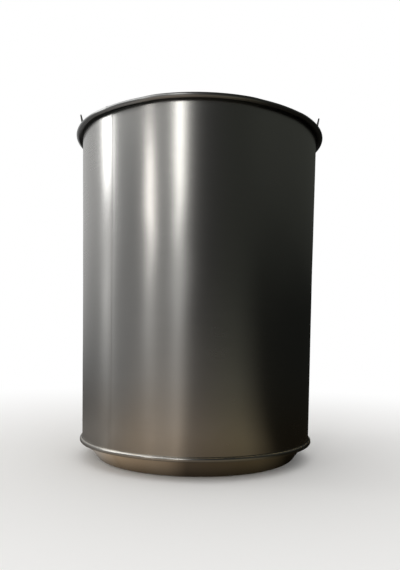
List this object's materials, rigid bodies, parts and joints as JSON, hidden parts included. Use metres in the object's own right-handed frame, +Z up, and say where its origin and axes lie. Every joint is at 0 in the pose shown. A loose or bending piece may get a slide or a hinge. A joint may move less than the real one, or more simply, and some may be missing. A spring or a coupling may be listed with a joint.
{
  "type": "steel oil drum",
  "caption": "Small open-head steel drum with a tapered welded body, rolled rim, folded bottom seam, dished foot, riveted ears and a wire bail with a turning grip.",
  "frame": {"origin": "centre of the foot, on the plane that the drum stands on", "axes": "+Z up along the drum's axis; the handle ears and the bail's hinge line lie along X; the lowered bail rests on the rim at +Y"},
  "size_m": [0.3044, 0.3108, 0.4179],
  "materials": {
    "body_steel": "bare cold-rolled steel sheet, satin, with fine rolling marks round the body",
    "pan_steel": "bare cold-rolled steel sheet, drawn and slightly tarnished",
    "sealing_compound": "dried rubber sealing compound",
    "ear_steel": "dark oiled steel strip, blanked and pressed",
    "rivet_steel": "bare cold-headed steel",
    "bail_wire": "zinc-plated drawn wire",
    "grip_plastic": "black moulded polyethylene, satin"
  },
  "bodies": {
    "drum": {"body_shell": "body_steel", "bottom_pan": "pan_steel", "seam_compound": "sealing_compound", "left_ear": "ear_steel", "right_ear": "ear_steel", "ear_rivets": "rivet_steel"},
    "bail": {"bail_handle": "bail_wire"},
    "grip": {"handle_grip": "grip_plastic"}
  },
  "joints": [
    {"name": "bail_hinge", "type": "hinge", "parent": "drum", "child": "bail", "pos_m": [0, 0, 0.3937], "axis": [1, 0, 0], "range_deg": [0, 181]},
    {"name": "grip_spin", "type": "hinge", "parent": "bail", "child": "grip", "pos_m": [0, 0.14799, 0.39239], "axis": [1, 0, 0], "continuous": true}
  ]
}
